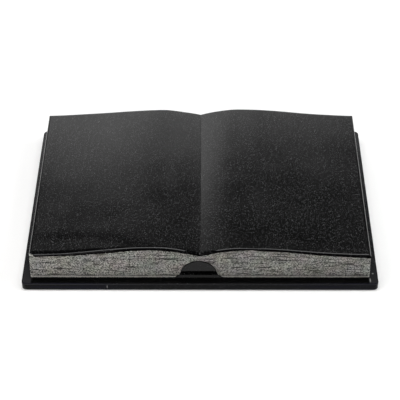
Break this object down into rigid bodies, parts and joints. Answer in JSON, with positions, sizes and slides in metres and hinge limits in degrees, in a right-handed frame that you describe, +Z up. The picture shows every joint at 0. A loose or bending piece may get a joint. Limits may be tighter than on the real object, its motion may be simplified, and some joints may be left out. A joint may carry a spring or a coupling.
{
  "type": "granite book memorial",
  "caption": "Open-book memorial of black granite: polished curved pages, dressed page edges with scored lines, a projecting board and a half-round spine end.",
  "frame": {"origin": "centre of the flat underside", "axes": "+X across the two pages to the reader's right, +Y from the foot of the pages to the head, +Z up"},
  "size_m": [0.35, 0.25, 0.0457],
  "materials": {
    "black_granite": "polished, with dressed grey page edges"
  },
  "bodies": {
    "root": {"granite_book": "black_granite"}
  },
  "joints": []
}
